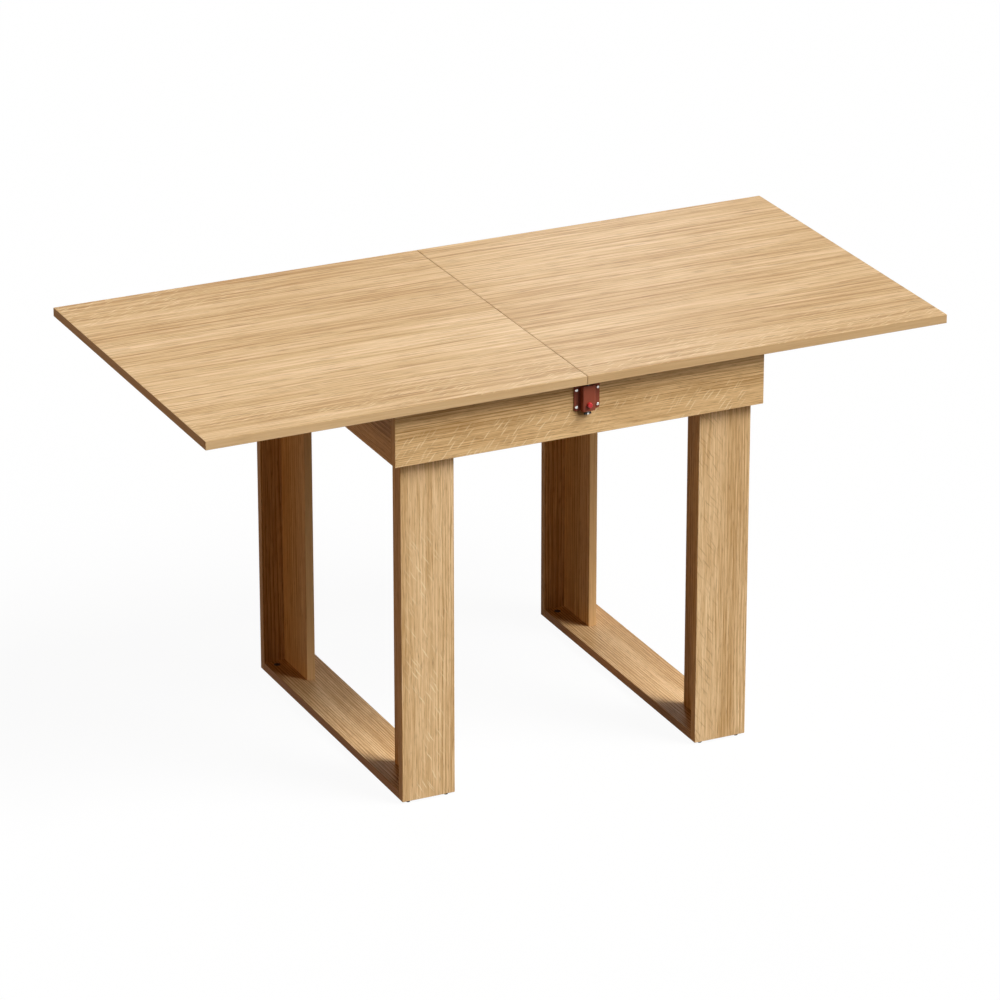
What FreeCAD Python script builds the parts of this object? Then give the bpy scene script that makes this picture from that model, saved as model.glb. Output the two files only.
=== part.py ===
import FreeCAD, Part
import os
import Sketcher

# Fold-over dining table with a sliding top, modelled opened.
# X runs along the table, Y to the rear and Z up; the origin is on the floor under the seam.
# Two square leaves meet over the middle of the base. The flip leaf folds over onto the main leaf,
# and the pair slides half a leaf to the left, until it sits over the base.

doc = FreeCAD.newDocument("folding_table")
sheet = doc.addObject("Spreadsheet::Sheet", "size")

SIZES = {
    # Leaves
    "table_height": 752,
    "board": 16,
    "edge_break": 0.6,
    "leaf_length": 699.5,
    "leaf_width": 700,
    "seam_gap": 1,
    "fold_gap": 0.5,
    "leaf_clearance": 1.5,
    # Apron box
    "apron_length": 700,
    "apron_setback": 20,
    "apron_height": 98,
    "pad_width": 12,
    "pad_height": 1.2,
    "pad_inner": 130,
    "pad_end_gap": 35,
    # Leg frames
    "leg_width": 100,
    "leg_drop": 34.5,
    "rib_offset": 40,
    "rib_depth": 105,
    "glide_width": 9,
    "glide_foot": 7.2,
    "glide_height": 4,
    "glide_spread": 36,
    "glide_nail": 2,
    "glide_nail_length": 12,
    # Cam locks, dowels and screws of the boards
    "cam_width": 12,
    "cam_height": 12.5,
    "cam_room": 0.3,
    "driver_length": 8.4,
    "driver_width": 1.4,
    "driver_depth": 1.5,
    "cam_bolt_head": 6.4,
    "cam_bolt_head_height": 2.8,
    "cam_bolt_neck": 4.4,
    "cam_bolt_neck_reach": 4,
    "cam_bolt_thread": 5,
    "cam_bolt_bite": 11,
    "foot_cam_setback": 16,
    "foot_cam_spread": 31,
    "apron_cam_setback": 26,
    "apron_cam_inset": 32,
    "dowel_width": 8,
    "dowel_bite": 10,
    "dowel_reach": 20,
    "dowel_room": 1,
    "dowel_end": 130,
    "dowel_inset": 30,
    "leg_screw_length": 26,
    "leg_screw_width": 4,
    "leg_screw_head": 8,
    "leg_screw_sink": 3.4,
    "leg_screw_spread": 32,
    "leg_screw_low": 18,
    "leg_screw_high": 48,
    "pan_screw_length": 13,
    "pan_screw_width": 3.4,
    "pan_screw_head": 6.6,
    "pan_screw_crown": 2.2,
    "pan_screw_rim": 1,
    "pan_screw_top": 4,
    "screw_clearance": 0.05,
    # Guide rails and the shoes that run in them
    "rail_end_gap": 4,
    "rail_height": 22,
    "rail_depth": 14,
    "rail_wall": 2,
    "rail_drop": 8,
    "rail_screw_length": 13,
    "rail_screw_width": 3.4,
    "rail_screw_head": 7,
    "rail_screw_inner": 70,
    "rail_screw_end_gap": 40,
    "shoe_length": 40,
    "shoe_clearance": 0.3,
    "shoe_stand": 2,
    "shoe_inner": 40,
    "shoe_end_gap": 2,
    "shoe_peg": 6,
    "shoe_peg_stand": 1,
    "bracket_wall": 2,
    "bracket_flange": 32,
    "bracket_screw_spread": 12,
    "bracket_screw_reach": 19.2,
    # Latch on the front apron
    "latch_offset": 8,
    "latch_width": 48,
    "latch_height": 46,
    "latch_drop": 22.5,
    "latch_box_width": 24,
    "latch_box_depth": 11,
    "latch_sheet": 1.5,
    "latch_corner": 4,
    "latch_bend": 2,
    "latch_screw_spread": 20,
    "latch_screw_inset": 7.5,
    "bolt_width": 8,
    "bolt_tail": 3.5,
    "bolt_gap": 0.6,
    "bolt_socket_depth": 6,
    "bolt_socket_room": 1,
    "bolt_fit": 0.05,
    "button_width": 9,
    "button_stand": 5,
    "button_travel": 3.5,
    "button_rise": 11.5,
    "button_round": 1.2,
    "plunger_bearing": 0.5,
    "tongue_wall": 2.6,
    "tongue_end": 1.8,
    "tongue_room": 0.2,
    "tongue_recess_room": 1,
    "cross_pin_width": 2,
    "cross_pin_room": 0.1,
    # Concealed barrel hinges
    "hinge_spread": 250,
    "barrel_width": 12,
    "barrel_length": 16,
    "barrel_slot": 5,
    "barrel_slot_depth": 7.5,
    "barrel_fit": 0.05,
    "link_pivot": 4.5,
    "link_drop": 7.5,
    "link_width": 3,
    "inner_link_wall": 2,
    "outer_link_wall": 1.2,
    "outer_link_spread": 1.7,
    "hinge_pin_width": 2,
    "hinge_pin_fit": 0.05,
    "seat_fit": 0.02,
}

for row, (word, number) in enumerate(SIZES.items(), start=1):
    sheet.set(f"A{row}", str(number))
    sheet.setAlias(f"A{row}", word)
doc.recompute()

# Places worked out from the sizes, as expressions

LEAF_UNDER = "(size.table_height - size.board)"
LEAF_MIDDLE = "(size.table_height - size.board / 2)"
FOLD_AXIS = "(size.table_height + size.fold_gap / 2)"
SEAM_EDGE = "(size.seam_gap / 2)"
SLIDE_TRAVEL = f"(({SEAM_EDGE} + size.leaf_length) / 2)"
APRON_TOP = f"({LEAF_UNDER} - size.leaf_clearance)"
APRON_BOTTOM = f"({APRON_TOP} - size.apron_height)"
APRON_FACE = "(size.leaf_width / 2 - size.apron_setback)"
APRON_END = "(size.apron_length / 2)"
LEG_FACE = f"({APRON_FACE} - size.board)"
LEG_BACK = f"({LEG_FACE} - size.board)"
LEG_SIDE = f"({APRON_END} - size.board)"
LEG_TOP = f"({APRON_TOP} - size.leg_drop)"
FOOT_TOP = "(size.glide_height + size.board)"
FOOT_MIDDLE = "(size.glide_height + size.board / 2)"
RAIL_END = f"({LEG_SIDE} - size.rail_end_gap)"
RAIL_BOTTOM = f"({APRON_TOP} - size.rail_drop - size.rail_height)"
LATCH_BOTTOM = "(size.table_height - size.latch_drop - size.latch_height)"
BOLT_SETBACK = "((size.latch_box_depth - size.latch_sheet) / 2)"
BOLT_PLACE = f"({APRON_FACE} + {BOLT_SETBACK})"
BUTTON_AXIS = f"({LATCH_BOTTOM} + size.button_rise)"
BUTTON_FACE = f"({APRON_FACE} + size.latch_box_depth + size.button_stand)"
TONGUE_START = "(size.button_stand + size.plunger_bearing)"

UP = FreeCAD.Rotation()
DOWN = FreeCAD.Rotation(FreeCAD.Vector(1, 0, 0), 180)
TO_FRONT = FreeCAD.Rotation(FreeCAD.Vector(1, 0, 0), 90)
TO_REAR = FreeCAD.Rotation(FreeCAD.Vector(1, 0, 0), -90)
TO_LEFT = FreeCAD.Rotation(FreeCAD.Vector(0, 1, 0), -90)
TO_RIGHT = FreeCAD.Rotation(FreeCAD.Vector(0, 1, 0), 90)
HALF_TURN = FreeCAD.Rotation(FreeCAD.Vector(0, 0, 1), 180)

SIDES = {"left": -1, "right": 1}
ENDS = {"front": -1, "rear": 1}

# Distance within which two points of a shape count as one
NEAR = 0.01

pieces = []


def value_of(expression):
    """The number that an expression gives now."""
    return float(sheet.evalExpression(expression))


def minus(expression):
    return f"-({expression})"


def piece(thing, label):
    """Marks a finished object as one of the table's pieces."""
    thing.Label = label
    pieces.append(thing)
    return thing


def new_body(name):
    return doc.addObject("PartDesign::Body", name)


def new_sketch(body, role, offset="0"):
    """A sketch on one of the body's own planes, moved along that plane's normal."""
    sketch = body.newObject("Sketcher::SketchObject", f"{body.Name}_sketch")
    plane = next(part for part in body.Origin.OriginFeatures if part.Role == role)
    sketch.AttachmentSupport = (plane, "")
    sketch.MapMode = "FlatFace"
    sketch.setExpression("AttachmentOffset.Base.z", offset)
    return sketch


def hold_point(sketch, geometry, vertex, across, along):
    """Ties a point of a sketch to two expressions, measured from the sketch's origin."""
    for kind, expression in (("DistanceX", across), ("DistanceY", along)):
        rule = Sketcher.Constraint(kind, -1, 1, geometry, vertex, value_of(expression))
        index = sketch.addConstraint(rule)
        sketch.setExpression(f"Constraints[{index}]", expression)


def outline(sketch, corners):
    """A closed outline of straight lines between corners."""
    points = [FreeCAD.Vector(value_of(across), value_of(along), 0) for across, along in corners]
    first = sketch.GeometryCount
    count = len(points)
    for i in range(count):
        sketch.addGeometry(Part.LineSegment(points[i], points[(i + 1) % count]), False)
    for i in range(count):
        following = first + (i + 1) % count
        sketch.addConstraint(Sketcher.Constraint("Coincident", first + i, 2, following, 1))
    for i, (across, along) in enumerate(corners):
        hold_point(sketch, first + i, 1, across, along)


def rectangle(sketch, low, high):
    outline(sketch, [low, (high[0], low[1]), high, (low[0], high[1])])


def circle(sketch, across, along, width):
    centre = FreeCAD.Vector(value_of(across), value_of(along), 0)
    index = sketch.addGeometry(Part.Circle(centre, FreeCAD.Vector(0, 0, 1), value_of(width) / 2), False)
    hold_point(sketch, index, 3, across, along)
    rule = sketch.addConstraint(Sketcher.Constraint("Diameter", index, value_of(width)))
    sketch.setExpression(f"Constraints[{rule}]", width)


def pad(body, sketch, length, both_ways=False, backwards=False):
    feature = body.newObject("PartDesign::Pad", f"{body.Name}_pad")
    feature.Profile = sketch
    feature.setExpression("Length", length)
    feature.SideType = "Symmetric" if both_ways else "One side"
    feature.Reversed = backwards
    return feature


def cut_through(body, sketch):
    """Cuts the sketch's outline through the whole body, both ways from its plane."""
    feature = body.newObject("PartDesign::Pocket", f"{body.Name}_opening")
    feature.Profile = sketch
    feature.Type = "ThroughAll"
    feature.SideType = "Symmetric"
    return feature


def cut_along(body, sketch, depth, backwards=False):
    """Cuts the sketch's outline to a depth, against the plane's normal."""
    feature = body.newObject("PartDesign::Pocket", f"{body.Name}_recess")
    feature.Profile = sketch
    feature.setExpression("Length", depth)
    feature.Reversed = backwards
    return feature


def dress_edges(body, kind, base, picked, amount):
    """Chamfers or fillets the edges of a feature whose middle point is picked."""
    doc.recompute()
    edges = base.Shape.Edges
    names = [f"Edge{i}" for i, edge in enumerate(edges, start=1) if picked(edge)]
    feature = body.newObject(f"PartDesign::{kind}", f"{body.Name}_{kind.lower()}")
    feature.Base = (base, names)
    feature.setExpression("Size" if kind == "Chamfer" else "Radius", amount)
    return feature


def middle_of(edge):
    return edge.BoundBox.Center


def place(thing, across, along, height, turn=UP):
    thing.Placement = FreeCAD.Placement(FreeCAD.Vector(), turn)
    for axis, expression in zip("xyz", (across, along, height)):
        thing.setExpression(f"Placement.Base.{axis}", expression)


def copies(name, model, places):
    """Copies of one model; each place is three expressions and a turn."""
    links = []
    for across, along, height, turn in places:
        link = doc.addObject("App::Link", f"{name}_copy")
        link.LinkedObject = model
        link.LinkPlacement = FreeCAD.Placement(FreeCAD.Vector(), turn)
        for axis, expression in zip("xyz", (across, along, height)):
            link.setExpression(f"LinkPlacement.Base.{axis}", expression)
        links.append(link)
    compound = doc.addObject("Part::Compound", name)
    compound.Links = links
    return compound


def drilled(label, blank, holes):
    """A blank with the holes of its fasteners and fittings, as a finished piece."""
    tools = doc.addObject("Part::Compound", f"{label}_holes")
    tools.Links = holes
    result = doc.addObject("Part::Cut", label)
    result.Base = blank
    result.Tool = tools
    return piece(result, label)


def board(name, low, span):
    """A flat board with broken edges, from its low corner."""
    body = new_body(f"{name}_blank")
    sketch = new_sketch(body, "XY_Plane")
    rectangle(sketch, ("0", "0"), (span[0], span[1]))
    base = pad(body, sketch, span[2])
    edges = body.newObject("PartDesign::Chamfer", f"{name}_edges")
    edges.Base = (base, [""])
    edges.UseAllEdges = True
    edges.setExpression("Size", "size.edge_break")
    place(body, *low)
    return body


def turned(name, profile):
    """A turned piece about Z; the profile runs from one end to the other as radius and height."""
    body = new_body(name)
    sketch = new_sketch(body, "XZ_Plane")
    outline(sketch, [("0", profile[0][1])] + profile + [("0", profile[-1][1])])
    feature = body.newObject("PartDesign::Revolution", f"{name}_turn")
    feature.Profile = sketch
    feature.ReferenceAxis = (sketch, ["V_Axis"])
    feature.Angle = 360
    return body


def rod(name, width, low, high):
    return turned(name, [(f"{width} / 2", low), (f"{width} / 2", high)])


# Fasteners: each points along Z into the material, with its seat at height 0

def sunk_screw(name, head, sink, width, length, room="0"):
    """A countersunk screw, or with room the hole that it goes in."""
    return turned(name, [
        (f"{head} / 2 + {room}", "0"),
        (f"{width} / 2 + {room}", sink),
        (f"{width} / 2 + {room}", f"{length} + {room}"),
    ])


def pan_screw(name):
    """A screw with a low crowned head."""
    return turned(name, [
        ("size.pan_screw_top / 2", "-size.pan_screw_crown"),
        ("size.pan_screw_head / 2", "-size.pan_screw_rim"),
        ("size.pan_screw_head / 2", "0"),
        ("size.pan_screw_width / 2", "0"),
        ("size.pan_screw_width / 2", "size.pan_screw_length"),
    ])


def cam_bolt(name, setback):
    """A bolt that is screwed into one board and gripped by the cam of the other."""
    return turned(name, [
        ("size.cam_bolt_head / 2", f"-{setback} - size.cam_bolt_head_height / 2"),
        ("size.cam_bolt_head / 2", f"-{setback} + size.cam_bolt_head_height / 2"),
        ("size.cam_bolt_neck / 2", f"-{setback} + size.cam_bolt_head_height / 2"),
        ("size.cam_bolt_neck / 2", f"-{setback} + size.cam_bolt_neck_reach"),
        ("size.cam_bolt_head / 2", f"-{setback} + size.cam_width / 2"),
        ("size.cam_bolt_head / 2", "0"),
        ("size.cam_bolt_thread / 2", "0"),
        ("size.cam_bolt_thread / 2", "size.cam_bolt_bite"),
    ])


def cam_bolt_hole(name, setback):
    return turned(name, [
        ("size.cam_bolt_head / 2 + 2 * size.screw_clearance", f"-{setback}"),
        ("size.cam_bolt_head / 2 + 2 * size.screw_clearance", "0"),
        ("size.cam_bolt_thread / 2 + size.screw_clearance", "0"),
        ("size.cam_bolt_thread / 2 + size.screw_clearance", "size.cam_bolt_bite + size.screw_clearance"),
    ])


def cam_lock(name):
    """A cam disc with a driver slot on its face and a channel for the bolt's head, open to +Y."""
    body = new_body(name)
    disc = new_sketch(body, "XY_Plane")
    circle(disc, "0", "0", "size.cam_width")
    pad(body, disc, "size.cam_height")
    channel = new_sketch(body, "XY_Plane", "size.cam_height")
    half = "(size.cam_bolt_head / 2 + size.cam_room)"
    rectangle(channel, (minus(half), minus(half)), (half, "size.cam_width"))
    cut_along(body, channel, f"size.cam_height - size.board / 2 + {half}")
    driver = new_sketch(body, "XY_Plane")
    rectangle(driver, ("-size.driver_length / 2", "-size.driver_width / 2"),
              ("size.driver_length / 2", "size.driver_width / 2"))
    cut_along(body, driver, "size.driver_depth", backwards=True)
    return body


leg_screw = sunk_screw("leg_screw", "size.leg_screw_head", "size.leg_screw_sink",
                       "size.leg_screw_width", "size.leg_screw_length")
leg_screw_hole = sunk_screw("leg_screw_hole", "size.leg_screw_head", "size.leg_screw_sink",
                            "size.leg_screw_width", "size.leg_screw_length", "size.screw_clearance")
rail_screw = sunk_screw("rail_screw", "size.rail_screw_head", "size.rail_wall",
                        "size.rail_screw_width", "size.rail_screw_length")
rail_screw_hole = sunk_screw("rail_screw_hole", "size.rail_screw_head", "size.rail_wall",
                             "size.rail_screw_width", "size.rail_screw_length", "size.screw_clearance")
crowned_screw = pan_screw("crowned_screw")
crowned_screw_hole = rod("crowned_screw_hole", "(size.pan_screw_width + 2 * size.screw_clearance)",
                         "0", "size.pan_screw_length + size.screw_clearance")
dowel = rod("dowel", "size.dowel_width", "-size.dowel_reach", "size.dowel_bite")
dowel_hole = rod("dowel_hole", "(size.dowel_width + 2 * size.screw_clearance)",
                 "-size.dowel_reach - size.dowel_room", "size.dowel_bite + size.screw_clearance")
cam = cam_lock("cam")
cam_hole = rod("cam_hole", "(size.cam_width + 2 * size.screw_clearance)",
               "0", "size.cam_height + size.screw_clearance")
foot_bolt = cam_bolt("foot_bolt", "size.foot_cam_setback")
foot_bolt_hole = cam_bolt_hole("foot_bolt_hole", "size.foot_cam_setback")
apron_bolt = cam_bolt("apron_bolt", "size.apron_cam_setback")
apron_bolt_hole = cam_bolt_hole("apron_bolt_hole", "size.apron_cam_setback")

# Where the fasteners of the base go

leg_screw_places = []
rib_dowel_places = []
foot_cam_places = []
foot_bolt_places = []
glide_places = []
apron_cam_places = []
apron_bolt_places = []
rail_screw_places = []
pad_places = []

for side, way in SIDES.items():
    leg_middle = f"{way} * ({LEG_SIDE} - size.leg_width / 2)"
    rib_middle = f"({leg_middle} - size.leg_width / 2 + size.rib_offset + size.board / 2)"
    into_side = TO_LEFT if way < 0 else TO_RIGHT
    for end, along in ENDS.items():
        outward = TO_FRONT if along < 0 else TO_REAR
        leg_back = f"{along} * {LEG_BACK}"
        cam_turn = DOWN if along < 0 else HALF_TURN * DOWN
        corner_turn = into_side * HALF_TURN if along < 0 else into_side
        for step in (-1, 1):
            across = f"{leg_middle} + {step} * size.leg_screw_spread"
            for height in ("size.leg_screw_low", "size.leg_screw_high"):
                leg_screw_places.append((across, leg_back, f"{APRON_BOTTOM} + {height}", outward))
            across = f"{leg_middle} + {step} * size.foot_cam_spread"
            cam_line = f"{along} * ({LEG_BACK} - size.foot_cam_setback)"
            foot_cam_places.append((across, cam_line, FOOT_TOP, cam_turn))
            foot_bolt_places.append((across, leg_back, FOOT_MIDDLE, outward))
            across = f"{leg_middle} + {step} * size.glide_spread"
            glide_places.append((across, f"{along} * ({LEG_FACE} - size.board / 2)", "0", UP))
        rib_middle_height = f"({FOOT_TOP} + {LEG_TOP}) / 2"
        for height in (f"{FOOT_TOP} + size.dowel_end", rib_middle_height, f"{LEG_TOP} - size.dowel_end"):
            rib_dowel_places.append((rib_middle, leg_back, height, outward))
        for inset in ("size.dowel_inset", "(size.rib_depth - size.dowel_inset)"):
            rib_dowel_places.append((rib_middle, f"{along} * ({LEG_BACK} - {inset})", FOOT_TOP, DOWN))
        for height in (f"{APRON_BOTTOM} + size.apron_cam_inset", f"{APRON_TOP} - size.apron_cam_inset"):
            cam_line = f"{along} * ({LEG_FACE} - size.apron_cam_setback)"
            apron_cam_places.append((f"{way} * {LEG_SIDE}", cam_line, height, corner_turn))
            bolt_line = f"{way} * ({LEG_SIDE} + size.board / 2)"
            apron_bolt_places.append((bolt_line, f"{along} * {LEG_FACE}", height, outward))
        for reach in ("size.rail_screw_inner", f"({RAIL_END} - size.rail_screw_end_gap)"):
            rail_screw_places.append(
                (f"{way} * {reach}", f"{along} * ({LEG_FACE} - size.rail_wall)",
                 f"{RAIL_BOTTOM} + size.rail_height / 2", outward))
        for reach in ("size.pad_inner", f"({APRON_END} - size.pad_end_gap)"):
            pad_line = f"{along} * ({APRON_FACE} - size.board / 2)"
            pad_places.append((f"{way} * {reach}", pad_line, APRON_TOP, UP))

leg_screw_holes = copies("leg_screw_holes", leg_screw_hole, leg_screw_places)
rib_dowel_holes = copies("rib_dowel_holes", dowel_hole, rib_dowel_places)
foot_cam_holes = copies("foot_cam_holes", cam_hole, foot_cam_places)
foot_bolt_holes = copies("foot_bolt_holes", foot_bolt_hole, foot_bolt_places)
apron_cam_holes = copies("apron_cam_holes", cam_hole, apron_cam_places)
apron_bolt_holes = copies("apron_bolt_holes", apron_bolt_hole, apron_bolt_places)
rail_screw_holes = copies("rail_screw_holes", rail_screw_hole, rail_screw_places)

glide = turned("glide", [
    ("size.glide_foot / 2", "0"),
    ("size.glide_width / 2", "size.glide_height / 2"),
    ("size.glide_width / 2", "size.glide_height"),
    ("size.glide_nail / 2", "size.glide_height"),
    ("size.glide_nail / 2", "size.glide_height + size.glide_nail_length"),
])
glide_hole = rod("glide_hole", "(size.glide_nail + 2 * size.screw_clearance)",
                 "0", "size.glide_height + size.glide_nail_length + size.screw_clearance")
glide_holes = copies("glide_holes", glide_hole, glide_places)
slide_pad = rod("slide_pad", "size.pad_width", "0", "size.pad_height")

for label, model, places in (
    ("leg_screws", leg_screw, leg_screw_places),
    ("rib_dowels", dowel, rib_dowel_places),
    ("foot_rail_cams", cam, foot_cam_places),
    ("foot_rail_cam_bolts", foot_bolt, foot_bolt_places),
    ("apron_cams", cam, apron_cam_places),
    ("apron_cam_bolts", apron_bolt, apron_bolt_places),
    ("guide_rail_screws", rail_screw, rail_screw_places),
    ("floor_glides", glide, glide_places),
    ("apron_glide_pads", slide_pad, pad_places),
):
    piece(copies(label, model, places), label)

# Leg frames: two leg boards stiffened by ribs to a T section, on a foot rail

for side, way in SIDES.items():
    leg_left = minus(LEG_SIDE) if way < 0 else f"{LEG_SIDE} - size.leg_width"
    rail = board(f"{side}_foot_rail", (leg_left, minus(LEG_BACK), "size.glide_height"),
                 ("size.leg_width", f"2 * {LEG_BACK}", "size.board"))
    drilled(f"{side}_foot_rail", rail, [foot_cam_holes, foot_bolt_holes, rib_dowel_holes])
    for end, along in ENDS.items():
        leg_low = minus(LEG_FACE) if along < 0 else LEG_BACK
        leg = board(f"{side}_{end}_leg", (leg_left, leg_low, "size.glide_height"),
                    ("size.leg_width", "size.board", f"{LEG_TOP} - size.glide_height"))
        leg_holes = [leg_screw_holes, foot_bolt_holes, rib_dowel_holes, glide_holes]
        drilled(f"{side}_{end}_leg", leg, leg_holes)
        rib_low = minus(LEG_BACK) if along < 0 else f"{LEG_BACK} - size.rib_depth"
        rib = board(f"{side}_{end}_rib", (f"{leg_left} + size.rib_offset", rib_low, FOOT_TOP),
                    ("size.board", "size.rib_depth", f"{LEG_TOP} - {FOOT_TOP}"))
        drilled(f"{side}_{end}_rib", rib, [rib_dowel_holes])

# Latch: pushing the button lifts the bolt into a socket of the main leaf, by a pin in a slanted slot

latch_screw_places = [
    (f"size.latch_offset + {step} * size.latch_screw_spread", f"-{APRON_FACE} - size.latch_sheet",
     f"{LATCH_BOTTOM} + {height}", TO_REAR)
    for step in (-1, 1)
    for height in ("size.latch_screw_inset", "(size.latch_height - size.latch_screw_inset)")
]
latch_screw_holes = copies("latch_screw_holes", crowned_screw_hole, latch_screw_places)
piece(copies("latch_screws", crowned_screw, latch_screw_places), "latch_screws")


def build_latch_housing():
    """A pressed steel hat section with a guide tab across each end."""
    body = new_body("latch_housing")
    half = "(size.latch_width / 2)"
    box = "(size.latch_box_width / 2)"
    inside = "(size.latch_box_width / 2 - size.latch_sheet)"
    front = "-size.latch_box_depth"
    front_inside = "(size.latch_sheet - size.latch_box_depth)"
    flange = "-size.latch_sheet"
    section = new_sketch(body, "XY_Plane")
    right = [(inside, front_inside), (inside, "0"), (half, "0"),
             (half, flange), (box, flange), (box, front)]
    left = [(minus(across), along) for across, along in reversed(right)]
    outline(section, right + left)
    wall = pad(body, section, "size.latch_height")

    def is_bend(edge):
        spot = middle_of(edge)
        at_box = abs(abs(spot.x) - value_of(box)) < NEAR and abs(spot.y - value_of(front)) < NEAR
        return at_box and edge.BoundBox.ZLength > NEAR

    bends = dress_edges(body, "Fillet", wall, is_bend, "size.latch_bend")

    def is_corner(edge):
        spot = middle_of(edge)
        return abs(abs(spot.x) - value_of(half)) < NEAR and edge.BoundBox.YLength > NEAR

    dress_edges(body, "Fillet", bends, is_corner, "size.latch_corner")
    for height in ("0", "size.latch_height - size.latch_sheet"):
        tab = new_sketch(body, "XY_Plane", height)
        rectangle(tab, (minus(inside), front_inside), (inside, "0"))
        pad(body, tab, "size.latch_sheet")
    doc.recompute()
    bolt_hole = new_sketch(body, "XY_Plane")
    circle(bolt_hole, "0", minus(BOLT_SETBACK), "size.bolt_width + 2 * size.bolt_fit")
    cut_through(body, bolt_hole)
    openings = new_sketch(body, "XZ_Plane")
    circle(openings, "0", "size.button_rise", "size.button_width + 2 * size.bolt_fit")
    for step in (-1, 1):
        for height in ("size.latch_screw_inset", "size.latch_height - size.latch_screw_inset"):
            circle(openings, f"{step} * size.latch_screw_spread", height,
                   "size.pan_screw_width + 2 * size.screw_clearance")
    cut_through(body, openings)
    place(body, "size.latch_offset", minus(APRON_FACE), LATCH_BOTTOM)
    return body


def build_latch_button():
    """A round plunger whose inner end is a flat tongue with a slot at 45 degrees."""
    body = new_body("latch_button")
    pin_depth = f"({BUTTON_FACE} - {BOLT_PLACE})"
    length = f"({pin_depth} + size.cross_pin_width / 2 + size.cross_pin_room + size.tongue_end)"
    plunger = new_sketch(body, "XY_Plane")
    circle(plunger, "0", "0", "size.button_width")
    solid = pad(body, plunger, length)

    def is_rim(edge):
        return abs(middle_of(edge).z) < NEAR and edge.BoundBox.ZLength < NEAR

    dress_edges(body, "Fillet", solid, is_rim, "size.button_round")
    doc.recompute()
    flats = new_sketch(body, "XY_Plane", length)
    for step in (-1, 1):
        rectangle(flats, (f"{step} * size.tongue_wall / 2", "-size.button_width"),
                  (f"{step} * size.button_width", "size.button_width"))
    cut_along(body, flats, f"{length} - {TONGUE_START}")
    slot = new_sketch(body, "YZ_Plane")
    reach = "(size.button_travel / 2)"
    half = "(sqrt(2) * (size.cross_pin_width / 2 + size.cross_pin_room))"
    outline(slot, [
        (f"{reach} + {half}", pin_depth),
        (reach, f"{pin_depth} + {half}"),
        (f"-{reach} - {half}", f"{pin_depth} - size.button_travel"),
        (minus(reach), f"{pin_depth} - size.button_travel - {half}"),
    ])
    cut_through(body, slot)
    place(body, "size.latch_offset", minus(BUTTON_FACE), BUTTON_AXIS, TO_REAR)
    return body


def build_latch_bolt():
    """A rod with a flat for the plunger's end, a slot for its tongue and a hole for the cross pin."""
    body = new_body("latch_bolt")
    low = f"({LATCH_BOTTOM} - size.bolt_tail)"
    tongue_half = "(size.button_width / 2 + size.tongue_room)"
    slot_low = f"({BUTTON_AXIS} - {low} - {tongue_half} - size.button_travel)"
    slot_high = f"({BUTTON_AXIS} - {low} + {tongue_half})"
    flat_depth = f"({TONGUE_START} + size.button_travel - {BUTTON_FACE} + {BOLT_PLACE} + size.tongue_room)"
    round_bar = new_sketch(body, "XY_Plane")
    circle(round_bar, "0", "0", "size.bolt_width")
    solid = pad(body, round_bar, f"{LEAF_UNDER} - size.bolt_gap - {low}")
    dress_edges(body, "Chamfer", solid, lambda edge: edge.BoundBox.ZLength < NEAR, "size.edge_break")
    doc.recompute()
    slot = new_sketch(body, "XZ_Plane")
    half = "(size.tongue_wall / 2 + size.tongue_room)"
    rectangle(slot, (minus(half), slot_low), (half, slot_high))
    cut_through(body, slot)
    flat = new_sketch(body, "YZ_Plane")
    rectangle(flat, ("-size.bolt_width", slot_low), (flat_depth, slot_high))
    cut_through(body, flat)
    pin_hole = new_sketch(body, "YZ_Plane")
    circle(pin_hole, "0", f"{BUTTON_AXIS} - {low} - size.button_travel / 2",
           "size.cross_pin_width + 2 * size.seat_fit")
    cut_through(body, pin_hole)
    place(body, "size.latch_offset", minus(BOLT_PLACE), low)
    return body


piece(build_latch_housing(), "latch_housing")
piece(build_latch_button(), "latch_button")
piece(build_latch_bolt(), "latch_bolt")
cross_pin = rod("latch_cross_pin", "size.cross_pin_width",
                "-size.bolt_width / 2 + size.edge_break", "size.bolt_width / 2 - size.edge_break")
cross_pin_height = f"{BUTTON_AXIS} - size.button_travel / 2"
place(cross_pin, "size.latch_offset", minus(BOLT_PLACE), cross_pin_height, TO_RIGHT)
piece(cross_pin, "latch_cross_pin")
tongue_recess = rod("tongue_recess", "(size.button_width + 2 * size.tongue_recess_room)",
                    "0", "size.button_travel + size.tongue_recess_room")
tongue_recesses = copies("tongue_recesses", tongue_recess,
                         [("size.latch_offset", minus(APRON_FACE), BUTTON_AXIS, TO_REAR)])

# Apron box

apron_holes = [leg_screw_holes, apron_bolt_holes, rail_screw_holes]
front = board("front_apron", (minus(APRON_END), minus(APRON_FACE), APRON_BOTTOM),
              ("size.apron_length", "size.board", "size.apron_height"))
drilled("front_apron", front, apron_holes + [latch_screw_holes, tongue_recesses])
rear = board("rear_apron", (minus(APRON_END), LEG_FACE, APRON_BOTTOM),
             ("size.apron_length", "size.board", "size.apron_height"))
drilled("rear_apron", rear, apron_holes)
for side, way in SIDES.items():
    apron_left = minus(APRON_END) if way < 0 else LEG_SIDE
    apron = board(f"{side}_apron", (apron_left, minus(LEG_FACE), APRON_BOTTOM),
                  ("size.board", f"2 * {LEG_FACE}", "size.apron_height"))
    drilled(f"{side}_apron", apron, [apron_cam_holes, apron_bolt_holes])


# Guide rails: channels along the front and rear aprons, open to the inside

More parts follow.
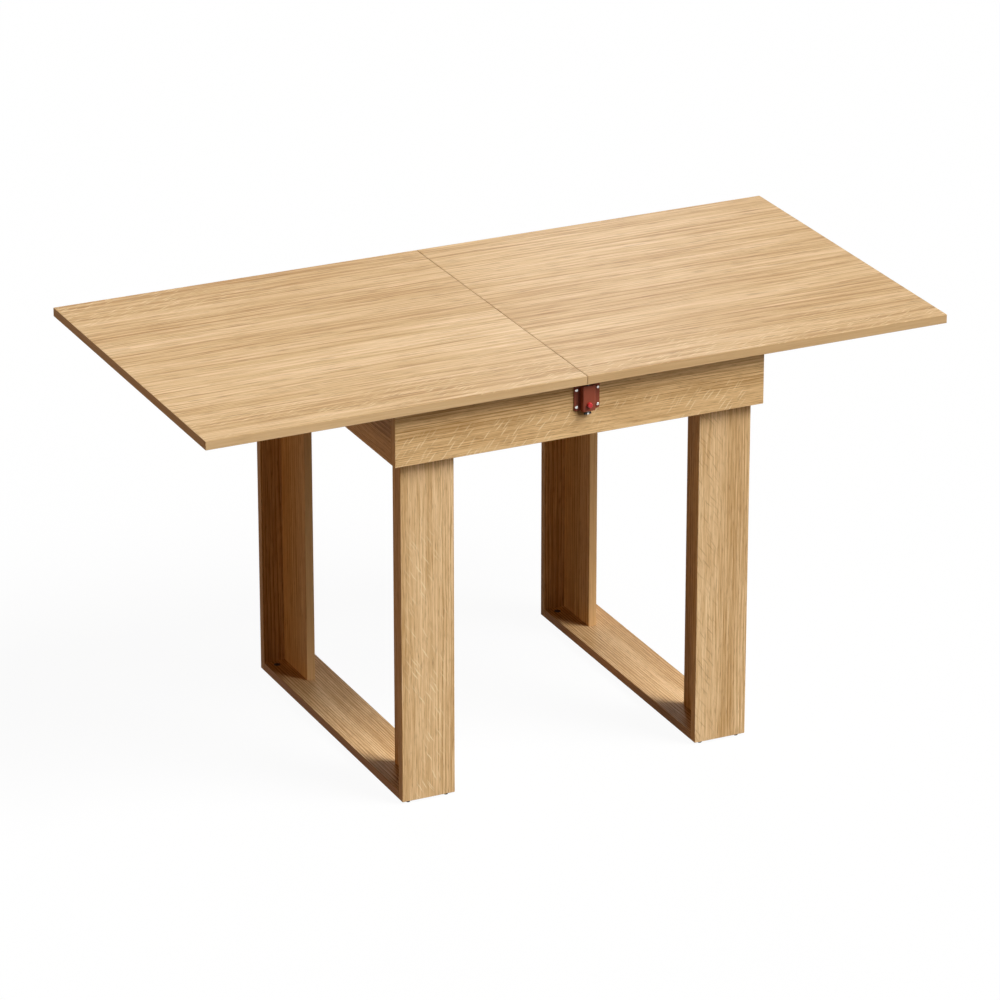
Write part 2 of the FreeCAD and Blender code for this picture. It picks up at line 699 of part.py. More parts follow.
def build_rail():
    body = new_body("rail_blank")
    section = new_sketch(body, "YZ_Plane")
    wall = "size.rail_wall"
    depth = "size.rail_depth"
    top = "size.rail_height"
    under_top = "size.rail_height - size.rail_wall"
    outline(section, [("0", "0"), (depth, "0"), (depth, wall), (wall, wall),
                      (wall, under_top), (depth, under_top), (depth, top), ("0", top)])
    pad(body, section, f"2 * {RAIL_END}", both_ways=True)
    return body


def build_shoe():
    """A block that slides in the channel, with a peg that is riveted over on the bracket."""
    body = new_body("shoe")
    inner = "(size.rail_depth + size.shoe_stand)"
    section = new_sketch(body, "YZ_Plane")
    rectangle(section, ("size.rail_wall + size.shoe_clearance", "size.rail_wall + size.shoe_clearance"),
              (inner, "size.rail_height - size.rail_wall - size.shoe_clearance"))
    pad(body, section, "size.shoe_length", both_ways=True)
    peg = new_sketch(body, "XZ_Plane", minus(inner))
    circle(peg, "0", "size.rail_height / 2", "size.shoe_peg")
    pad(body, peg, "size.bracket_wall + size.shoe_peg_stand", backwards=True)
    return body


def build_bracket():
    """An angle that hangs the shoe from the underside of the leaf."""
    body = new_body("bracket")
    near = "(size.rail_depth + size.shoe_stand)"
    top = f"({LEAF_UNDER} - {RAIL_BOTTOM})"
    wall = "size.bracket_wall"
    section = new_sketch(body, "YZ_Plane")
    outline(section, [
        (near, wall), (f"{near} + {wall}", wall), (f"{near} + {wall}", f"{top} - {wall}"),
        (f"{near} + size.bracket_flange", f"{top} - {wall}"), (f"{near} + size.bracket_flange", top),
        (near, top),
    ])
    pad(body, section, "size.shoe_length", both_ways=True)
    peg_hole = new_sketch(body, "XZ_Plane")
    circle(peg_hole, "0", "size.rail_height / 2", "size.shoe_peg + 2 * size.screw_clearance")
    cut_through(body, peg_hole)
    screw_holes = new_sketch(body, "XY_Plane")
    for step in (-1, 1):
        circle(screw_holes, f"{step} * size.bracket_screw_spread", f"{near} + size.bracket_screw_reach",
               "size.pan_screw_width + 2 * size.screw_clearance")
    cut_through(body, screw_holes)
    return body


rail_blank = build_rail()
shoe_places = []
shoe_screw_places = []
for end, along in ENDS.items():
    facing = UP if along < 0 else HALF_TURN
    blank = copies(f"{end}_rail_blank", rail_blank, [("0", f"{along} * {LEG_FACE}", RAIL_BOTTOM, facing)])
    drilled(f"{end}_guide_rail", blank, [rail_screw_holes])
    screw_line = f"{along} * ({LEG_FACE} - size.rail_depth - size.shoe_stand - size.bracket_screw_reach)"
    for reach in ("size.shoe_inner", f"({RAIL_END} - size.shoe_end_gap - size.shoe_length / 2)"):
        shoe_places.append((reach, f"{along} * {LEG_FACE}", RAIL_BOTTOM, facing))
        for step in (-1, 1):
            shoe_screw_places.append((f"{reach} + {step} * size.bracket_screw_spread", screw_line,
                                      f"{LEAF_UNDER} - size.bracket_wall", UP))
piece(copies("slide_shoes", build_shoe(), shoe_places), "slide_shoes")
piece(copies("shoe_brackets", build_bracket(), shoe_places), "shoe_brackets")
piece(copies("shoe_screws", crowned_screw, shoe_screw_places), "shoe_screws")
shoe_screw_holes = copies("shoe_screw_holes", crowned_screw_hole, shoe_screw_places)


# Concealed hinges: a slotted barrel in each leaf, and bent links that swing out as the leaf folds.
# Their models have the fold axis as origin.

def build_barrel():
    body = new_body("barrel")
    end = new_sketch(body, "YZ_Plane", SEAM_EDGE)
    circle(end, "0", f"{LEAF_MIDDLE} - {FOLD_AXIS}", "size.barrel_width")
    pad(body, end, "size.barrel_length")
    slot = new_sketch(body, "XY_Plane")
    rectangle(slot, ("0", "-size.barrel_slot / 2"), ("size.barrel_slot_depth", "size.barrel_slot / 2"))
    cut_through(body, slot)
    pin_hole = new_sketch(body, "XZ_Plane")
    circle(pin_hole, "size.link_pivot", "-size.link_pivot", "size.hinge_pin_width + 2 * size.seat_fit")
    cut_through(body, pin_hole)
    return body


def build_link(name, wall):
    """A link bent at a right angle: down from its pivot, then across to the seam."""
    body = new_body(name)
    half = "(size.link_width / 2)"
    pivot = "size.link_pivot"
    low = "(size.link_pivot + size.link_drop)"
    bend = new_sketch(body, "XZ_Plane")
    outline(bend, [
        (f"{pivot} - {half}", minus(pivot)), (f"{pivot} + {half}", minus(pivot)),
        (f"{pivot} + {half}", f"-{low} - {half}"), ("0", f"-{low} - {half}"),
        ("0", f"-{low} + {half}"), (f"{pivot} - {half}", f"-{low} + {half}"),
    ])
    pad(body, bend, wall, both_ways=True)
    for across, height in ((pivot, minus(pivot)), ("0", minus(low))):
        eye = new_sketch(body, "XZ_Plane")
        circle(eye, across, height, "size.link_width")
        pad(body, eye, wall, both_ways=True)
    doc.recompute()
    pin_hole = new_sketch(body, "XZ_Plane")
    circle(pin_hole, pivot, minus(pivot), "size.hinge_pin_width + 2 * size.hinge_pin_fit")
    cut_through(body, pin_hole)
    return body


hinge_lines = ("-size.hinge_spread", "0", "size.hinge_spread")
barrel = build_barrel()
barrel_bore = rod("barrel_bore", "(size.barrel_width + 2 * size.barrel_fit)",
                  "0", f"{SEAM_EDGE} + size.barrel_length + size.barrel_fit")
pin_lift = f"({FOLD_AXIS} - size.link_pivot - {LEAF_MIDDLE} + size.hinge_pin_width / 2)"
pin_reach = f"(sqrt(pow(size.barrel_width / 2; 2) - pow({pin_lift}; 2)) - size.barrel_fit)"
hinge_pin = rod("hinge_pin", "size.hinge_pin_width", minus(pin_reach), pin_reach)
inner_link = build_link("inner_link", "size.inner_link_wall")
outer_link = build_link("outer_link", "size.outer_link_wall")

for leaf, way in (("main", 1), ("flip", -1)):
    facing = UP if way > 0 else HALF_TURN
    barrels = copies(f"hinge_barrels_{leaf}", barrel,
                     [("0", line, FOLD_AXIS, facing) for line in hinge_lines])
    piece(barrels, f"hinge_barrels_{leaf}")
    pin_place = (f"{way} * size.link_pivot", f"{FOLD_AXIS} - size.link_pivot")
    pins = copies(f"hinge_pins_{leaf}", hinge_pin,
                  [(pin_place[0], line, pin_place[1], TO_REAR) for line in hinge_lines])
    piece(pins, f"hinge_pins_{leaf}")
piece(copies("hinge_links_main", inner_link, [("0", line, FOLD_AXIS, UP) for line in hinge_lines]),
      "hinge_links_main")
piece(copies("hinge_links_flip", outer_link, [
    ("0", f"{line} + {step} * size.outer_link_spread", FOLD_AXIS, HALF_TURN)
    for line in hinge_lines
    for step in (-1, 1)
]), "hinge_links_flip")

# Leaves

leaf_span = ("size.leaf_length", "size.leaf_width", "size.board")
bolt_socket = rod("bolt_socket", "(size.bolt_width + size.bolt_socket_room)", "0", "size.bolt_socket_depth")
bolt_sockets = copies("bolt_sockets", bolt_socket, [
    (f"size.latch_offset + {shift} * {SLIDE_TRAVEL}", minus(BOLT_PLACE), LEAF_UNDER, UP)
    for shift in (0, 1)
])
main_bores = copies("main_bores", barrel_bore,
                    [("0", line, LEAF_MIDDLE, TO_RIGHT) for line in hinge_lines])
flip_bores = copies("flip_bores", barrel_bore,
                    [("0", line, LEAF_MIDDLE, TO_LEFT) for line in hinge_lines])
main_blank = board("main_leaf", (SEAM_EDGE, "-size.leaf_width / 2", LEAF_UNDER), leaf_span)
drilled("main_leaf", main_blank, [main_bores, bolt_sockets, shoe_screw_holes])
flip_low = (f"-{SEAM_EDGE} - size.leaf_length", "-size.leaf_width / 2", LEAF_UNDER)
flip_blank = board("flip_leaf", flip_low, leaf_span)
drilled("flip_leaf", flip_blank, [flip_bores])

# Check everything, then write one file for each piece

doc.recompute()
for thing in doc.Objects:
    if "Invalid" in thing.State or "Error" in thing.State:
        raise RuntimeError(f"{thing.Label} did not build")
for thing in pieces:
    if thing.Shape.isNull() or not thing.Shape.isValid():
        raise RuntimeError(f"{thing.Label} has no valid shape")
os.makedirs("parts", exist_ok=True)
for thing in pieces:
    thing.Shape.exportStep(f"parts/{thing.Label}.step")
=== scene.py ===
import math
from typing import NamedTuple

import bmesh
import bpy
from mathutils import Matrix, Vector


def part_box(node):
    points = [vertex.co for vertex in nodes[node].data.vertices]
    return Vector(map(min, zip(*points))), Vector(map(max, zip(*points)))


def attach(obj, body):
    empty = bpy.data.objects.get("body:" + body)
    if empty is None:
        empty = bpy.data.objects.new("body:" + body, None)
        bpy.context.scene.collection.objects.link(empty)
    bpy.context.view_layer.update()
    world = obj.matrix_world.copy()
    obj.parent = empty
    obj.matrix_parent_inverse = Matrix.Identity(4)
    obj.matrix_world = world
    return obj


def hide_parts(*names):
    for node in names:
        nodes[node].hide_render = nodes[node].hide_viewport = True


bl_info = {
    "name": "Folding Dining Table",
    "version": (1, 0, 0),
    "blender": (4, 5, 0),
    "location": "View3D > Sidebar > Table",
    "description": "Finishes, screws and studio of a fold-over dining table with a sliding top",
    "category": "Object",
}

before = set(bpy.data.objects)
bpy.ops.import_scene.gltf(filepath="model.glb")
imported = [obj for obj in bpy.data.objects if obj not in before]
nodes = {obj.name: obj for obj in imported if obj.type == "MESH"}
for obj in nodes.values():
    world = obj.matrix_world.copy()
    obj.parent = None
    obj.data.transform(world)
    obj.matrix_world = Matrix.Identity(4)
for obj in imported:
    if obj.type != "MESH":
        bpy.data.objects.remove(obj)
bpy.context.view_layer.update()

MM = 0.001
AXES = "XYZ"
SIDES = ("left", "right")
ENDS = ("front", "rear")
WHITE = "#FFFFFF"
WARM_WHITE = "#FFC482"
# Points that lie closer than this are taken as one
SAME_POINT = 0.01 * MM


def linear(hex_colour):
    """An sRGB hex colour as linear red, green, blue and a full alpha."""
    channels = [int(hex_colour[i:i + 2], 16) / 255 for i in (1, 3, 5)]
    return [c / 12.92 if c <= 0.04045 else ((c + 0.055) / 1.055) ** 2.4 for c in channels] + [1.0]


def add(tree, kind, inputs=None, **settings):
    """Adds a node with its settings. An input is a value, or the socket or node that feeds it."""
    node = tree.nodes.new(kind)
    for key, value in settings.items():
        setattr(node, key, value)
    for key, value in (inputs or {}).items():
        if isinstance(value, bpy.types.Node):
            value = value.outputs[0]
        if isinstance(value, bpy.types.NodeSocket):
            tree.links.new(value, node.inputs[key])
        else:
            node.inputs[key].default_value = value
    return node


def new_material(name):
    """An empty node material and its tree."""
    material = bpy.data.materials.new(name)
    material.use_nodes = True
    material.node_tree.nodes.clear()
    return material, material.node_tree


def dress(names, material):
    """Gives CAD nodes one material in place of the plain one they came with."""
    for name in names:
        data = nodes[name].data
        data.materials.clear()
        data.materials.append(material)


# Sizes and colours that a user would change


def colour(name, description, hex_colour):
    """A colour property whose default is an sRGB hex value."""
    return bpy.props.FloatVectorProperty(
        name=name, description=description, subtype="COLOR", size=4, min=0, max=1,
        default=linear(hex_colour))


def length(name, description, millimetres):
    """A length property whose default is in millimetres."""
    return bpy.props.FloatProperty(
        name=name, description=description, subtype="DISTANCE", unit="LENGTH", min=0, precision=5,
        default=millimetres * MM)


def angle(name, description, degrees):
    """An angle property whose default is in degrees."""
    return bpy.props.FloatProperty(
        name=name, description=description, subtype="ANGLE", default=math.radians(degrees))


def power(name, description, strength):
    """A property with the strength of a sun lamp."""
    return bpy.props.FloatProperty(name=name, description=description, default=strength)


class TABLE_PG_oak(bpy.types.PropertyGroup):
    """Oak-look foil of the boards."""

    top_light: colour("Top Light", "Early wood of the leaves", "#E7C9A0")
    top_middle: colour("Top Middle", "Mean tone of the leaves", "#D2B082")
    top_dark: colour("Top Dark", "Late wood of the leaves", "#B08757")
    top_edge: colour("Top Edge", "Tint of the banded edges of the leaves", "#D2B082")
    rib_edge: colour("Rib Edge", "Tint of the banded edges of the ribs", "#D8B07C")
    # Painted shade: the foot rails' narrow faces, low by the floor, take this darker tint
    rail_edge: colour("Rail Edge", "Painted shade on the narrow faces of the foot rails", "#BA8E61")
    # Painted light: the front legs take a lighter copy of the foil on the rear legs, ribs and foot
    # rails
    lit_leg_light: colour("Lit Leg Light", "Early wood of the front legs", "#F8D9AB")
    lit_leg_middle: colour("Lit Leg Middle", "Mean tone of the front legs", "#E1BD8D")
    lit_leg_dark: colour("Lit Leg Dark", "Late wood of the front legs", "#BC935E")
    board_light: colour(
        "Board Light", "Early wood of the rear legs, ribs and foot rails", "#ECCD9E")
    board_middle: colour(
        "Board Middle", "Mean tone of the rear legs, ribs and foot rails", "#D8B283")
    board_dark: colour(
        "Board Dark", "Late wood of the rear legs, ribs and foot rails", "#B48A57")
    apron_light: colour("Apron Light", "Early wood of the aprons", "#F0CD99")
    apron_middle: colour("Apron Middle", "Mean tone of the aprons", "#D9B380")
    apron_dark: colour("Apron Dark", "Late wood of the aprons", "#B08752")
    pore: colour("Pore", "Dark pores of the open grain", "#80582E")
    fleck: colour("Fleck", "Pale medullary rays across the grain", "#F6E0B4")
    band_width: length("Band Width", "Width of the broad tonal bands across the grain", 45)
    ring_width: length("Ring Width", "Width of the streaks across the grain", 8)
    # Real fibres and pores are about 0.3 mm wide, too fine to show, so they are drawn coarser
    fibre_width: length("Fibre Width", "Width of the fine fibres across the grain", 1.4)
    fleck_length: length("Fleck Length", "Length of a medullary ray", 30)
    fleck_width: length("Fleck Width", "Width of a medullary ray", 2.8)
    fleck_spacing: length("Fleck Spacing", "Distance from one medullary ray to the next", 8)
    band_thickness: length("Band Thickness", "Thickness of the edge band in the seam", 0.45)


class TABLE_PG_screws(bpy.types.PropertyGroup):
    """Small turned pieces."""

    recess_width: length("Recess Width", "Width of one arm of the cross recess", 0.9)
    recess_depth: length("Recess Depth", "Depth of the cross recess", 1.3)
    recess_reach: length("Recess Reach", "Length of the cross from end to end", 3.4)
    pull_length: length("Pull Length", "Length of the small pull under the bolt", 13)
    pull_width: length("Pull Width", "Width of the pull", 4)
    collar_length: length("Collar Length", "Length of the bright collar on the pull", 3.6)
    collar_width: length("Collar Width", "Width of the collar", 5.2)


class TABLE_PG_stage(bpy.types.PropertyGroup):
    """Camera and light."""

    lens: bpy.props.FloatProperty(
        name="Lens", description="Focal length on a 36 mm sensor", unit="CAMERA", default=190.77)
    azimuth: angle("Azimuth", "Camera's angle round the table from the front", -25.31)
    elevation: angle("Elevation", "Camera's angle above the horizon", 22.44)
    distance: length("Distance", "From the camera to the point it looks at", 9410.5)
    key_power: power("Key Power", "Strength of the large soft light", 3.54)
    fill_power: power("Fill Power", "Strength of the warm light from the left", 0.67)
    low_power: power("Low Power", "Strength of the lower light from the front", 0.62)
    side_power: power("Side Power", "Strength of the low light from the right", 0.77)
    rear_power: power("Rear Power", "Strength of the light on the rear", 1.6)
    sheen_power: bpy.props.FloatProperty(
        name="Sheen Power", description="Power of the soft box that the top mirrors", unit="POWER",
        default=12)
    ambient: bpy.props.FloatProperty(
        name="Ambient", description="Strength of the light from all round", min=0, default=0.01)


# Materials

# Streaks of the foil's print: their length along the grain and their width, in metres
SWAY = (0.5, 0.12)
WANDER = (1.6, 0.05)
LINE_PATCH = (0.5, 0.04)
FLECK_PATCH = (0.15, 0.05)
BAND_RUN = 1.3
RING_RUN = 0.8
# Length of a fibre and of a pore, as a number of widths
FIBRE_RUN = 72
PORE_RUN = 16
# How far the grain sways in metres, and how many years the growth lines wander
SWAY_REACH = 0.007
WANDER_YEARS = 3
# How late in a year its wood turns dark
LATE_POWER = 6
# How much each pattern counts in the tone, whose whole range is 1
RING_SHARE = 0.55
BAND_SHARE = 1.15
FIBRE_SHARE = 2.2
# How much of the pore's and of the edge's colour shows
PORE_SHARE = 0.5
EDGE_SHARE = 0.7
# Values of its noise between which a pattern comes in
PORE_RANGE = (0.56, 0.72)
LINE_RANGE = (0.3, 0.52)
FLECK_RANGE = (0.34, 0.5)
NOISE_MEAN = 0.5
# A fleck fades from its core to its rim, and is paler where its cell has drawn a low number
FLECK_CORE, FLECK_RIM = 0.4, 1
FLECK_CHANCE = 0.6
# From one fleck to the next along its length, in lengths
FLECK_PITCH = 1.2
# A face looks along an axis where this much of its normal does
FACING = 0.7
RELIEF_DEPTH = 0.25 * MM


class Zone(NamedTuple):
    """Where a pattern shows: an axis, and the places on it where it is faded out and full."""

    axis: str
    empty: float
    full: float


class Lines(NamedTuple):
    """Growth lines: their spacing in millimetres, how dark they are and where they are."""

    spacing: float
    depth: float
    zone: Zone = None


class Flecks(NamedTuple):
    """Strokes across the grain: their turn from it in radians, strength, places and colour."""

    turn: float
    amount: float
    zones: tuple = ()
    colour: str = "fleck"


def streaks(tree, vector, run, width, detail, roughness=0.5):
    """Noise drawn out along the grain, for streaks of a length and a width."""
    drawn = add(tree, "ShaderNodeMapping",
                {"Vector": vector, "Scale": (1 / run, 1 / width, 1 / width)})
    noise = add(tree, "ShaderNodeTexNoise",
                {"Vector": drawn, "Scale": 1, "Detail": detail, "Roughness": roughness})
    return noise.outputs["Fac"]


def growth_lines(tree, lines, place, grain, bent):
    """How dark the growth lines are: each year darkens slowly and ends at once."""
    across = add(tree, "ShaderNodeSeparateXYZ", {0: bent}).outputs
    depth = add(tree, "ShaderNodeMath", {0: across[1], 1: across[2]}, operation="ADD")
    years = add(tree, "ShaderNodeMath", {0: depth, 1: lines.spacing * MM}, operation="DIVIDE")
    wander = streaks(tree, bent, *WANDER, detail=2)
    drift = add(tree, "ShaderNodeMath", {0: wander, 1: WANDER_YEARS, 2: years},
                operation="MULTIPLY_ADD")
    year = add(tree, "ShaderNodeMath", {0: drift}, operation="FRACT")
    late = add(tree, "ShaderNodeMath", {0: year, 1: LATE_POWER}, operation="POWER")
    patches = streaks(tree, grain, *LINE_PATCH, detail=1)
    clear = add(tree, "ShaderNodeMapRange", {0: patches, 1: LINE_RANGE[0], 2: LINE_RANGE[1]})
    dark = add(tree, "ShaderNodeMath", {0: late, 1: clear}, operation="MULTIPLY")
    if lines.zone:
        axis, empty, full = lines.zone
        within = add(tree, "ShaderNodeMapRange", {0: place[axis], 1: empty, 2: full})
        dark = add(tree, "ShaderNodeMath", {0: dark, 1: within}, operation="MULTIPLY")
    return dark


def fleck_strokes(tree, flecks, place, grain):
    """How strong the flecks are, with one in each cell of a jittered grid turned from the grain."""
    oak = bpy.context.scene.table_oak
    cell = (oak.fleck_length * FLECK_PITCH, oak.fleck_spacing)
    stretch = (2 * cell[0] / oak.fleck_length, 2 * cell[1] / oak.fleck_width, 0)
    waves = add(tree, "ShaderNodeTexNoise",
                {"Vector": grain, "Scale": 1 / oak.fleck_length, "Detail": 1})
    wave = add(tree, "ShaderNodeVectorMath", {0: waves.outputs["Color"], 1: (NOISE_MEAN,) * 3},
               operation="SUBTRACT")
    wavy = add(tree, "ShaderNodeVectorMath", {0: wave, 1: (oak.fleck_spacing,) * 3, 2: grain},
               operation="MULTIPLY_ADD")
    turned = add(tree, "ShaderNodeVectorRotate", {"Vector": wavy, "Angle": flecks.turn},
                 rotation_type="Z_AXIS")
    celled = add(tree, "ShaderNodeVectorMath", {0: turned, 1: (1 / cell[0], 1 / cell[1], 0)},
                 operation="MULTIPLY")
    cells = add(tree, "ShaderNodeTexVoronoi", {"Vector": celled, "Scale": 1},
                voronoi_dimensions="2D").outputs
    apart = add(tree, "ShaderNodeVectorMath", {0: celled, 1: cells["Position"]},
                operation="SUBTRACT")
    drawn = add(tree, "ShaderNodeVectorMath", {0: apart, 1: stretch}, operation="MULTIPLY")
    reach = add(tree, "ShaderNodeVectorMath", {0: drawn}, operation="LENGTH").outputs["Value"]
    stroke = add(tree, "ShaderNodeMapRange", {0: reach, 1: FLECK_RIM, 2: FLECK_CORE})
    chance = add(tree, "ShaderNodeSeparateXYZ", {0: cells["Color"]})
    kept = add(tree, "ShaderNodeMapRange", {0: chance, 1: 0, 2: FLECK_CHANCE})
    noise = streaks(tree, grain, *FLECK_PATCH, detail=1)
    patches = add(tree, "ShaderNodeMapRange", {0: noise, 1: FLECK_RANGE[0], 2: FLECK_RANGE[1]})
    zones = [add(tree, "ShaderNodeMapRange", {0: place[axis], 1: empty, 2: full})
             for axis, empty, full in flecks.zones]
    share = add(tree, "ShaderNodeMath", {0: stroke, 1: flecks.amount}, operation="MULTIPLY")
    for factor in (kept, patches, *zones):
        share = add(tree, "ShaderNodeMath", {0: share, 1: factor}, operation="MULTIPLY")
    return share


def oak_foil(name, along, ends, tones, lines, flecks=(), edge=None, shift=(0, 0, 0), coarse=1,
             banding=BAND_SHARE):
    """Oak-look melamine foil pressed on board: satin, with tonal bands, fine fibres and ray flecks.

    The grain runs along one axis, and along another on the end faces, where the edge is banded.
    The narrow faces may take an edge's tint, which on the foot rails is painted shade. A shift
    gives a board another stretch of the print, coarse widens its fibres and pores, and banding is
    how much its bands count.
    """
    oak = bpy.context.scene.table_oak
    material, tree = new_material(name)
    third = next(axis for axis in AXES if axis not in (along, ends))
    given = add(tree, "ShaderNodeTexCoord").outputs
    place = add(tree, "ShaderNodeSeparateXYZ", {0: given["Object"]}).outputs
    moved = add(tree, "ShaderNodeVectorMath", {0: given["Object"], 1: shift}, operation="ADD")
    spot = add(tree, "ShaderNodeSeparateXYZ", {0: moved}).outputs
    facing = add(tree, "ShaderNodeSeparateXYZ", {0: given["Normal"]}).outputs
    steep = add(tree, "ShaderNodeMath", {0: facing[along]}, operation="ABSOLUTE")
    on_end = add(tree, "ShaderNodeMath", {0: steep, 1: FACING}, operation="GREATER_THAN")
    flat = add(tree, "ShaderNodeMath", {0: facing[third]}, operation="ABSOLUTE")
    broad = add(tree, "ShaderNodeMath", {0: flat, 1: FACING}, operation="GREATER_THAN")

    run = add(tree, "ShaderNodeMix", {0: on_end, 2: spot[along], 3: spot[ends]})
    side = add(tree, "ShaderNodeMix", {0: on_end, 2: spot[ends], 3: spot[along]})
    grain = add(tree, "ShaderNodeCombineXYZ", {0: run, 1: side, 2: spot[third]})
    sway = streaks(tree, grain, *SWAY, detail=2)
    lean = add(tree, "ShaderNodeMath", {0: sway, 1: NOISE_MEAN}, operation="SUBTRACT")
    bend = add(tree, "ShaderNodeMath", {0: lean, 1: SWAY_REACH}, operation="MULTIPLY")
    offset = add(tree, "ShaderNodeCombineXYZ", {1: bend, 2: bend})
    bent = add(tree, "ShaderNodeVectorMath", {0: grain, 1: offset}, operation="ADD")

    bands = streaks(tree, bent, BAND_RUN, oak.band_width, detail=2)
    rings = streaks(tree, bent, RING_RUN, oak.ring_width, detail=4, roughness=0.65)
    width = oak.fibre_width * coarse
    fibres = streaks(tree, bent, FIBRE_RUN * width, width, detail=2, roughness=0.7)
    dark = growth_lines(tree, lines, place, grain, bent)
    tone = add(tree, "ShaderNodeMath", {0: rings, 1: RING_SHARE}, operation="MULTIPLY")
    for pattern, share in ((bands, banding), (fibres, FIBRE_SHARE), (dark, -lines.depth)):
        tone = add(tree, "ShaderNodeMath", {0: pattern, 1: share, 2: tone},
                   operation="MULTIPLY_ADD")
    mean = (RING_SHARE + banding + FIBRE_SHARE) * NOISE_MEAN
    tone = add(tree, "ShaderNodeMapRange", {0: tone, 1: mean - 0.5, 2: mean + 0.5})
    ramp = add(tree, "ShaderNodeValToRGB", {0: tone})
    ramp.color_ramp.elements.new(0.5)
    for element, shade in zip(ramp.color_ramp.elements, tones):
        element.color = shade

    dashes = streaks(tree, bent, PORE_RUN * width, width, detail=2)
    pores = add(tree, "ShaderNodeMapRange", {0: dashes, 1: PORE_RANGE[0], 2: PORE_RANGE[1]})
    dotted = add(tree, "ShaderNodeMath", {0: pores, 1: PORE_SHARE}, operation="MULTIPLY")
    layers = [(dotted, oak.pore)]
    if edge:
        # The edge's tint: a band's colour on the leaves and ribs, and painted shade on the foot
        # rails
        banded = add(tree, "ShaderNodeMath", {0: broad, 1: -EDGE_SHARE, 2: EDGE_SHARE},
                     operation="MULTIPLY_ADD")
        layers.append((banded, edge))
    for kind in flecks:
        strokes = fleck_strokes(tree, kind, place, grain)
        share = add(tree, "ShaderNodeMath", {0: strokes, 1: broad}, operation="MULTIPLY")
        layers.append((share, getattr(oak, kind.colour)))
    wood = ramp.outputs["Color"]
    for share, tint in layers:
        wood = add(tree, "ShaderNodeMix", {0: share, 6: wood, 7: tint}, data_type="RGBA").outputs[2]

    relief = add(tree, "ShaderNodeBump",
                 {"Height": fibres, "Strength": 0.4, "Distance": RELIEF_DEPTH})
    shader = add(tree, "ShaderNodeBsdfPrincipled",
                 {"Base Color": wood, "Roughness": 0.38, "Specular IOR Level": 0.02,
                  "Normal": relief})
    add(tree, "ShaderNodeOutputMaterial", {0: shader})
    return material


def plain(name, hex_colour, roughness, metallic=0, specular=0.5):
    """A material of one colour all over."""
    material, tree = new_material(name)
    shader = add(tree, "ShaderNodeBsdfPrincipled",
                 {"Base Color": linear(hex_colour), "Roughness": roughness, "Metallic": metallic,
                  "Specular IOR Level": specular})
    add(tree, "ShaderNodeOutputMaterial", {0: shader})
    return material


# Pieces


def made(name, mesh, material):
    """A new object from a bmesh, with its place in the mesh and one material."""
    bmesh.ops.recalc_face_normals(mesh, faces=mesh.faces)
    data = bpy.data.meshes.new(name)
    mesh.to_mesh(data)
    mesh.free()
    data.materials.append(material)
    piece = bpy.data.objects.new(name, data)
    bpy.context.scene.collection.objects.link(piece)
    return piece


def blocks(name, corners, material):
    """Plain blocks as one object, each between its lowest and its highest corner."""
    mesh = bmesh.new()
    for low, high in corners:
        place = Matrix.Translation((low + high) / 2) @ Matrix.Diagonal((*(high - low), 1))
        bmesh.ops.create_cube(mesh, size=1, matrix=place)
    return made(name, mesh, material)


def solids(name):
    """The box of each separate solid of a CAD node: lowest corner, highest corner and middle."""
    mesh = bmesh.new()
    mesh.from_mesh(nodes[name].data)
    bmesh.ops.remove_doubles(mesh, verts=mesh.verts, dist=SAME_POINT)
    left = set(mesh.verts)
    boxes = []
    while left:
        todo = [left.pop()]
        corners = []
        while todo:
            vert = todo.pop()
            corners.append(vert.co.copy())
            near = {edge.other_vert(vert) for edge in vert.link_edges} & left
            left -= near
            todo += near
        low = Vector(min(corner[i] for corner in corners) for i in range(3))
        high = Vector(max(corner[i] for corner in corners) for i in range(3))
        boxes.append((low, high, (low + high) / 2))
    mesh.free()
    return sorted(boxes, key=lambda box: tuple(box[2]))


class TABLE_OT_leaves(bpy.types.Operator):
    """Dress the two leaves of the top."""

    bl_idname = "table.leaves"
    bl_label = "Leaves"

    def execute(self, context):
        oak = context.scene.table_oak
        # The top is seen at a low angle, so its fibres are drawn coarser still
        looks = {"tones": (oak.top_dark, oak.top_middle, oak.top_light), "edge": oak.top_edge,
                 "coarse": 2.1}
        low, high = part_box("flip_leaf")
        near_front = Zone("Y", low.y + 160 * MM, low.y + 60 * MM)
        near_rear = Zone("Y", high.y - 200 * MM, high.y - 100 * MM)
        near_left = Zone("X", low.x + 400 * MM, low.x + 200 * MM)
        front = Flecks(turn=-0.48, amount=0.4, zones=(near_front,))
        rear = Flecks(turn=-0.48, amount=0.45, zones=(near_rear, near_left))
        main = oak_foil("oak_foil_main_leaf", "X", "Y", lines=Lines(spacing=17, depth=0.4),
                        flecks=[front], shift=(15, 4.64, 0.91), banding=0.75, **looks)
        flip = oak_foil("oak_foil_flip_leaf", "X", "Y", lines=Lines(spacing=17, depth=0.35),
                        flecks=[front, rear], shift=(9.7, 2.67, 0.57), **looks)
        dress(["main_leaf"], main)
        dress(["flip_leaf"], flip)

        # The edge band stands in the seam, just inside the leaf's rims and clear of the bores
        low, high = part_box("main_leaf")
        inset, clear = 0.2 * MM, 1.5 * MM
        bores = sorted(solids("hinge_barrels_main"), key=lambda box: box[0].y)
        start = low.y + inset
        strips = []
        for bore_low, bore_high, _ in bores:
            strips.append((start, bore_low.y - clear))
            start = bore_high.y + clear
        strips.append((start, high.y - inset))
        corners = [(Vector((low.x - oak.band_thickness, near, low.z + inset)),
                    Vector((low.x + inset, far, high.z - inset))) for near, far in strips]
        band = blocks("main_leaf_edge_band", corners, main)
        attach(band, "main_leaf")
        return {"FINISHED"}


